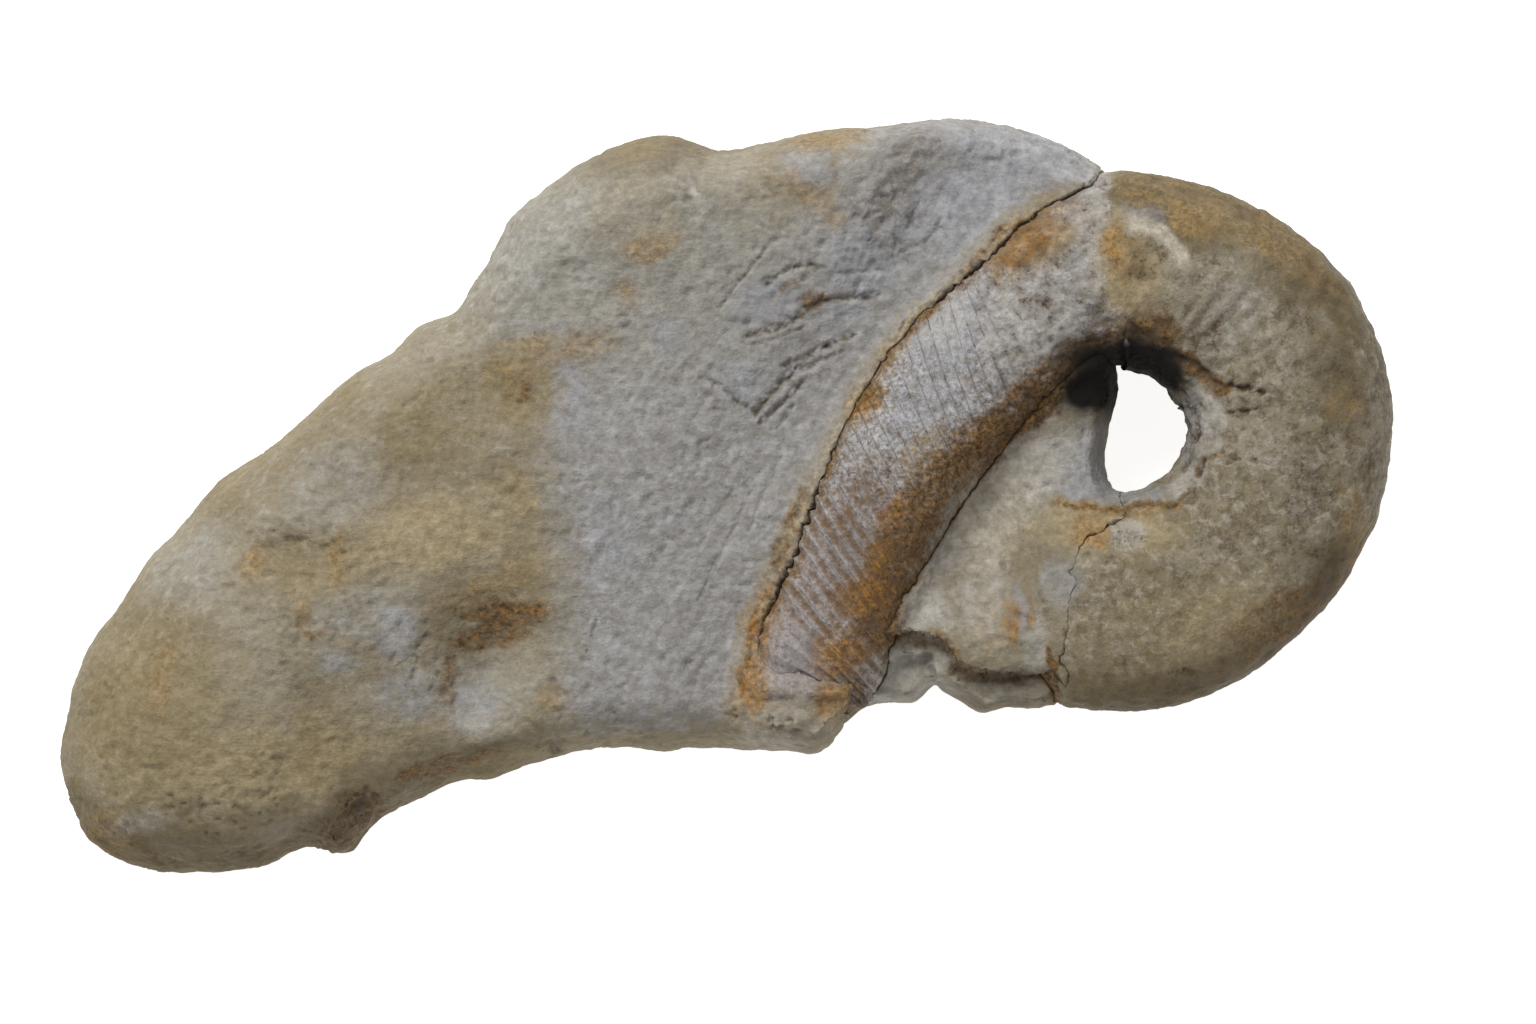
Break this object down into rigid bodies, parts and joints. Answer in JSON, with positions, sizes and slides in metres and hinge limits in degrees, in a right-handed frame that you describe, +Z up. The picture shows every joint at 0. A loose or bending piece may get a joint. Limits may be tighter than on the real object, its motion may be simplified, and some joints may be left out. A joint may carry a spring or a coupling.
{
  "type": "heteromorph ammonite fossil",
  "caption": "Hook-shaped heteromorph ammonite with a ribbed shaft, half freed from a flat limestone nodule, lying on its level underside.",
  "frame": {"origin": "middle of the specimen seen from above, on the surface that it lies on", "axes": "+X along the specimen from the nodule's left lobe to the hook, +Y across it towards the outside of the bend, +Z up"},
  "size_m": [0.3002, 0.1714, 0.051],
  "materials": {
    "weathered_shell": "matte",
    "limestone": "matte"
  },
  "bodies": {
    "root": {"ammonite": "weathered_shell", "matrix": "limestone"}
  },
  "joints": []
}
